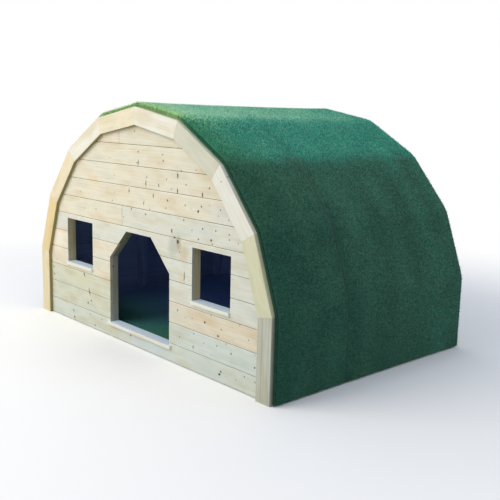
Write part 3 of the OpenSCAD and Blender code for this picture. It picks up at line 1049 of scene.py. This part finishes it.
def turf_mat(name, y0, y1, node):
    """The mat of fibres on its backing: the rounded outline, raised by turf_rise and carried through depths
    that stand closest at both ends, as a closed strip. Its painted sheen on top stays below the blades' tips,
    and it is darkened into the seam with painted shade."""
    outer, slope, run = rounded_arch(MAT_T, TURF_BEND)
    upward = slope[:, 1]
    inner = rounded_arch(BACKING_LIFT, TURF_BEND)[0]
    depth = (y0 + y1 - (y1 - y0) * np.cos(np.linspace(0, math.pi, MAT_STATIONS))[:, None]) / 2
    raised = outer + turf_rise(depth, slope[:, 0], upward)[..., None] * slope
    loop = np.concatenate([raised, np.broadcast_to(inner[::-1], raised.shape)], axis=1)
    n = loop.shape[1]
    sides = tube(n, MAT_STATIONS)[0][:-2 * n].reshape(-1, 4)
    a = np.arange(len(outer) - 1)
    caps = np.stack([a, a + 1, n - 2 - a, n - 1 - a], axis=1)
    corners = np.concatenate([sides, caps[:, ::-1], caps + n * (MAT_STATIONS - 1)])
    mesh = build_mesh(name, in_front(loop, depth).reshape(-1, 3), corners.ravel(), np.full(len(corners), 4))
    fringe = front_sunlight(depth, upward)
    tone = turf_tone(run / run[-1], depth) + (1 - PALE_SHARE) / 2
    tone = np.minimum(tone, MAT_PALEST + MAT_EDGE_LIGHT * fringe)
    from_end = np.minimum(depth - y0, y1 - depth)
    tip = np.clip(from_end / CUT_EDGE, CUT_TIP, 1.0) * seam_clear(depth, upward, SEAM_SHADE)
    mark(mesh, "POINT",
         tone=np.concatenate([tone, tone[:, ::-1]], axis=1),
         tip=np.concatenate([tip, np.full(tip.shape, BACKING_TIP)], axis=1),
         fringe=np.concatenate([fringe, fringe[:, ::-1]], axis=1))
    outwards(mesh)
    mesh.shade_smooth()
    mesh.set_sharp_from_angle(angle=SHARP_EDGE)
    return finish_piece(name, mesh, ROOF_MAT, [node])


def blades(root, normal, across, height, lean, lie, width):
    """Blades as single triangles: two root points a width apart, and a tip up along the normal that leans in
    the direction of its lie. A blade whose face would look into the mat is turned over."""
    way = np.cos(lie)[:, None] * across + np.sin(lie)[:, None] * BACK
    flat = -np.sin(lie)[:, None] * across + np.cos(lie)[:, None] * BACK
    tip = root + height[:, None] * normal + lean[:, None] * way
    left = root - flat * width[:, None] / 2
    right = root + flat * width[:, None] / 2
    points = np.stack([left, right, tip], axis=1)
    turned = (np.cross(right - left, tip - left) * normal).sum(axis=1) < 0
    points[turned] = points[turned][:, [1, 0, 2]]
    return points


BAKE_EDGE = 0.02
BAKE_TONES = 0.46
BAKE_FRINGE = 0.5
BAKE_TIPS = 0.96
BAKE_NUDGE = np.array([-0.005, 0.005, 0.0])


def pile(name, points, tone, fringe, lit, material):
    """Turf pile from its blades, darker to the root; lit is 1 in the open. The bake's map is tone by height,
    the fringe in a half of its own, so that blades of one colour share one place."""
    count = len(points)
    mesh = build_mesh(name, points.reshape(-1, 3), np.arange(count * 3), np.full(count, 3))
    tip = lit[:, None] * np.array([BLADE_ROOT_TIP, BLADE_ROOT_TIP, 1.0])
    mark(mesh, "POINT", tone=np.repeat(tone, 3), tip=tip, fringe=np.repeat(fringe, 3))
    u = BAKE_EDGE + BAKE_TONES * tone[:, None] + BAKE_FRINGE * fringe[:, None] + BAKE_NUDGE
    lay_map(mesh, "OFBake", u, BAKE_EDGE + BAKE_TIPS * tip)
    return finish_piece(name, mesh, material)


def edge_reach(normal):
    """Share of the spill over the trim that the edge's blades reach: a base, more by the square of the
    normal's upward part, and most on the uprights."""
    upright_share = np.clip((np.abs(normal[:, 0]) - UPRIGHT_FROM) / (1 - UPRIGHT_FROM), 0, 1)
    return REACH + REACH_ON_TOP * normal[:, 2] ** 2 + REACH_ON_SIDES * upright_share


def roof_pile(name, count, y0, y1, s0, s1):
    """Pile on the vault between two depths and two distances round the arch. Blades are drawn about three
    times as wide as real ones, so that they show. They lean out over the front edge, and lie low along the
    seam."""
    places, normals, run = rounded_arch(ROOT_LIFT, TURF_BEND)
    s = rng.uniform(s0, s1, count)
    y = rng.uniform(y0, y1, count)
    facing = np.stack([np.interp(s, run, row) for row in normals.T], axis=1)
    facing /= np.linalg.norm(facing, axis=1, keepdims=True)
    normal = in_front(facing, 0)
    across = in_front(facing[:, ::-1] * (1, -1), 0)
    sideways, upward = facing.T
    edge = (np.arange(count) < EDGE_BLADES) & (y0 == BOARD_Y) & (sideways > EDGE_LEFT_END)
    y[edge] = BOARD_Y
    root = in_front(np.stack([np.interp(s, run, row) for row in places.T], axis=1), y)
    drop = np.where(edge, rng.uniform(0, EDGE_DROP, count) * (1 - EDGE_SIDE_CUT * np.abs(sideways)), 0)
    root += (turf_rise(y, sideways, upward) - drop)[:, None] * normal
    clear = seam_clear(y, upward, 0)
    standing = rising(SEAM_BLADE_H, clear)
    height = rng.uniform(*BLADE_H, count) * (TURF_T - ROOT_LIFT) * standing
    lean = rng.uniform(*BLADE_LEAN, count) * height
    height[edge] *= EDGE_H
    lean[edge] = rng.uniform(*EDGE_LEAN, edge.sum()) * EDGE_SPILL * edge_reach(normal[edge])
    at_front = edge | (y - BOARD_Y < TIP_SPILL) & (rng.random(count) < LEAN_OUT_SHARE)
    lie = np.where(at_front, rng.normal(-math.pi / 2, LIE_SPREAD, count), rng.uniform(0, math.tau, count))
    # Painted sunlight on the front edge's blades
    edge_light = front_sunlight(y, upward)
    tufts = rng.normal(0, TUFT_SPREAD, (int(s1 / TUFT) + 1, int((y1 - y0) / TUFT) + 1))
    chance = tufts[(s / TUFT).astype(int), ((y - y0) / TUFT).astype(int)]
    chance += rng.normal(0, BLADE_SPREAD, count)
    chance = np.clip(0.5 + chance * (1 + EDGE_LIGHT_SPREAD * edge_light), 0, 1)
    chance += SIDE_SPECKLE * (1 - painted_sheen_share(s / run[-1])) * (chance - 0.5)
    light = np.where(rng.random(count) < LIGHT_SHARE, LIGHT_TONE, 0.0)
    tone = turf_tone(s / run[-1], y) + (1 - PALE_SHARE) * chance * standing + light
    fringe = (rng.random(count) < edge_light).astype(float)
    points = blades(root, normal, across, height, lean, lie, rng.uniform(*BLADE_W, count))
    first = y0 if y0 == SEAM_Y else y0 - TRIM_T
    last = y1 if y1 < SEAM_Y else y1 + TIP_SPILL
    points[..., 1] = np.clip(points[..., 1], first, last)
    points[..., 2] = np.maximum(points[..., 2], GROUND_CLEAR)
    return pile(name, points, np.clip(tone, 0, 1), fringe, rising(SEAM_SHADE, clear), ROOF_TURF)


for width_name, y0, y1, shares in (
        ("front", BOARD_Y, SEAM_Y - SEAM_GAP, 1), ("rear", SEAM_Y, REAR_Y, 2)):
    turf_mat(f"turf_{width_name}_mat", y0, y1, f"turf_{width_name}")
    for k in range(shares):
        s0 = ARCH_RUN * k / shares
        s1 = ARCH_RUN * (k + 1) / shares
        part = f"turf_{width_name}_pile" + (f"_{k + 1}" if shares > 1 else "")
        roof_pile(part, int(PILE_PER_M2 * (s1 - s0) * (y1 - y0)), y0, y1, s0, s1)


# Floor turf

FLOOR_BLADES = 60000
FLOOR_BLADE_W = (0.0025, 0.004)
FLOOR_BLADE_H = (0.7, 1.0)
FLOOR_BLADE_LEAN = (0.2, 1.2)
FLOOR_BLADE_SPREAD = 0.3
FLOOR_ROOT_LIFT = 0.005
FLOOR_MAT_T = 0.009
FLOOR_MAT_TIP = 0.9
FLOOR_TONE_FRONT = 0.50
FLOOR_TONE_FADE = 0.60
FLOOR_EDGE_W = 0.22
FLOOR_EDGE_POWER = 1.5


def floor_wall_light(x, y):
    """Share of painted light along the side and rear walls, a lighter blue against their shade: a power of
    the distance from them.
    """
    from_wall = np.minimum(ROOM_HALF - np.abs(x), REAR_FRAME_Y - y)
    return np.clip(1 - from_wall / FLOOR_EDGE_W, 0, 1) ** FLOOR_EDGE_POWER


def floor_daylight(y):
    """Tone of the floor turf: green near the doorway, where daylight comes in, and painted blue shade further
    in, by a bell curve of the distance.
    """
    return FLOOR_TONE_FRONT * np.exp(-((y - ROOM_Y) / FLOOR_TONE_FADE) ** 2)


def floor_pile(name, count):
    """Short pile on the floor: blades at chance places on a level sheet."""
    x = rng.uniform(-ROOM_HALF, ROOM_HALF, count)
    y = rng.uniform(ROOM_Y, REAR_FRAME_Y, count)
    root = np.stack([x, y, np.full(count, FLOOR_Z + FLOOR_ROOT_LIFT)], axis=1)
    height = rng.uniform(*FLOOR_BLADE_H, count) * (FLOOR_TURF_T - FLOOR_ROOT_LIFT)
    lean = rng.uniform(*FLOOR_BLADE_LEAN, count) * height
    lie = rng.uniform(0, math.tau, count)
    tone = np.clip(floor_daylight(y) * rng.normal(1, FLOOR_BLADE_SPREAD, count), 0, 1)
    width = rng.uniform(*FLOOR_BLADE_W, count)
    points = blades(root, np.array([0.0, 0.0, 1.0]), np.array([1.0, 0.0, 0.0]), height, lean, lie, width)
    points[..., 0] = np.clip(points[..., 0], -ROOM_HALF, ROOM_HALF)
    points[..., 1] = np.clip(points[..., 1], ROOM_Y, REAR_FRAME_Y)
    return pile(name, points, tone, floor_wall_light(x, y), np.ones(count), FLOOR_TURF)


def floor_mat(name):
    """The floor turf's mat: a closed strip, whose points stand closer to the walls by a cosine, in its width
    and in its depth."""
    ease = (1 - np.cos(np.linspace(0, math.pi, MAT_STATIONS))) / 2
    depth = ROOM_Y + (REAR_FRAME_Y - ROOM_Y) * ease
    x = np.concatenate([[-ROOM_HALF, ROOM_HALF], ROOM_HALF * (1 - 2 * ease)])
    z = FLOOR_Z + np.concatenate([[0, 0], np.full(MAT_STATIONS, FLOOR_MAT_T)])
    n = len(x)
    points = np.stack([np.tile(x, MAT_STATIONS), np.repeat(depth, n), np.tile(z, MAT_STATIONS)], axis=1)
    mesh = build_mesh(name, points, *tube(n, MAT_STATIONS))
    outwards(mesh)
    mark(mesh, "POINT",
         tone=floor_daylight(points[:, 1]),
         tip=np.full(len(points), FLOOR_MAT_TIP),
         fringe=floor_wall_light(points[:, 0], points[:, 1]))
    return finish_piece(name, mesh, FLOOR_MAT, ["floor_turf"])


floor_mat("floor_turf_mat")
floor_pile("floor_turf_pile", FLOOR_BLADES)


# Stage, light and camera, in metres and watts

STAGE_REACH = 60.0
STAGE_FADE = {1: 1.6, 2: 4.0}
STAGE_LIT = "#B4B8B2"
STAGE_SEEN = "#FAFAF8"
PLAIN_WHITE = {"Color": (1, 1, 1, 1), "Strength": 1.0}
SKY = "#EAF1FF"
SKY_WAY = tuple(Vector((-0.45, -0.45, 0.77)).normalized())
SKY_DARK = 0.25
SKY_BRIGHT = 0.95
LAMP_AT = Vector((-1.9, -4.8, 3.8))
LAMP_AIM = Vector((0, 0, 0.6))
LAMP_SIZE = 4.5
LAMP_POWER = 203
LAMP_COLOUR = "#FFF6E8"


def seen_ray(add):
    """1 for a ray from the camera, or one seen in gloss or through glass, and 0 for the light on the den."""
    path = add("LightPath", out=None)
    seen = add("Math", {0: path["Is Camera Ray"], 1: path["Is Glossy Ray"]}, operation="ADD")
    return add("Math", {0: seen, 1: path["Is Transmission Ray"]}, operation="ADD", use_clamp=True)


def stage_floor():
    """A pale floor that keeps the den's shadow and fades into the white background."""
    square = np.array([(-1, -1, 0), (1, -1, 0), (1, 1, 0), (-1, 1, 0)])
    mesh = build_mesh("studio_floor", STAGE_REACH * square, np.arange(4), [4])
    material, add, shader = new_material("pale studio floor")
    place = add("TexCoord", out="Object")
    far = add("VectorMath", {0: place}, operation="LENGTH", out="Value")
    fade = add("MapRange", {0: far, **STAGE_FADE}, **SMOOTH)
    seen = seen_ray(add)
    share = add("Math", {0: fade, 1: seen}, operation="MULTIPLY", use_clamp=True)
    pale = add("Mix", {0: seen, 6: linear(STAGE_LIT), 7: linear(STAGE_SEEN)}, **RGBA)
    feed(shader, {"Base Color": pale, "Roughness": 0.9, "Specular IOR Level": 0.0})
    white = add("Emission", PLAIN_WHITE)
    mix = add("MixShader", {0: share, 1: shader.outputs[0], 2: white})
    feed(material.node_tree.nodes["Material Output"], {"Surface": mix})
    floor = new_object("studio_floor", mesh)
    mesh.materials.append(material)


def studio_world():
    """Soft light from all round, brightest from above on the front left; a ray that is seen meets white."""
    world = bpy.data.worlds.new("studio")
    bpy.context.scene.world = world
    world.use_nodes = True
    tree = world.node_tree
    add = partial(add_node, tree)
    way = add("TexCoord", out="Generated")
    towards = add("VectorMath", {0: way, 1: SKY_WAY}, operation="DOT_PRODUCT", out="Value")
    level = add("MapRange", {0: towards, 1: -1.0, 2: 1.0, 3: SKY_DARK, 4: SKY_BRIGHT})
    soft = tree.nodes["Background"]
    feed(soft, {"Color": linear(SKY), "Strength": level})
    white = add("Background", PLAIN_WHITE)
    mix = add("MixShader", {0: seen_ray(add), 1: soft.outputs[0], 2: white})
    feed(tree.nodes["World Output"], {"Surface": mix})


def key_lamp():
    """A large square soft lamp to the front left, which faces the den."""
    lamp = bpy.data.lights.new("key_lamp", "AREA")
    lamp.shape = "SQUARE"
    lamp.size = LAMP_SIZE
    lamp.energy = LAMP_POWER
    lamp.color = linear(LAMP_COLOUR)[:3]
    holder = new_object("key_lamp", lamp)
    holder.location = LAMP_AT
    holder.rotation_euler = (LAMP_AIM - LAMP_AT).to_track_quat("-Z", "Y").to_euler()


def photo_camera():
    """The fitted camera: yaw from +Y, pitch below the horizon, and roll about the line of sight."""
    ahead = math.cos(CAMERA_PITCH)
    look = Vector((math.sin(CAMERA_YAW) * ahead, math.cos(CAMERA_YAW) * ahead, -math.sin(CAMERA_PITCH)))
    level = look.cross(Vector((0, 0, 1))).normalized()
    below = look.cross(level)
    right = math.cos(CAMERA_ROLL) * level + math.sin(CAMERA_ROLL) * below
    up = math.sin(CAMERA_ROLL) * level - math.cos(CAMERA_ROLL) * below
    lens = bpy.data.cameras.new("photo_camera")
    lens.lens = CAMERA_LENS
    lens.sensor_width = CAMERA_SENSOR
    camera = new_object("photo_camera", lens)
    camera.matrix_world = Matrix.Translation(CAMERA_AT) @ Matrix((right, up, -look)).transposed().to_4x4()
    bpy.context.scene.camera = camera


stage_floor()
studio_world()
key_lamp()
photo_camera()
bpy.context.scene.view_settings.view_transform = "Standard"
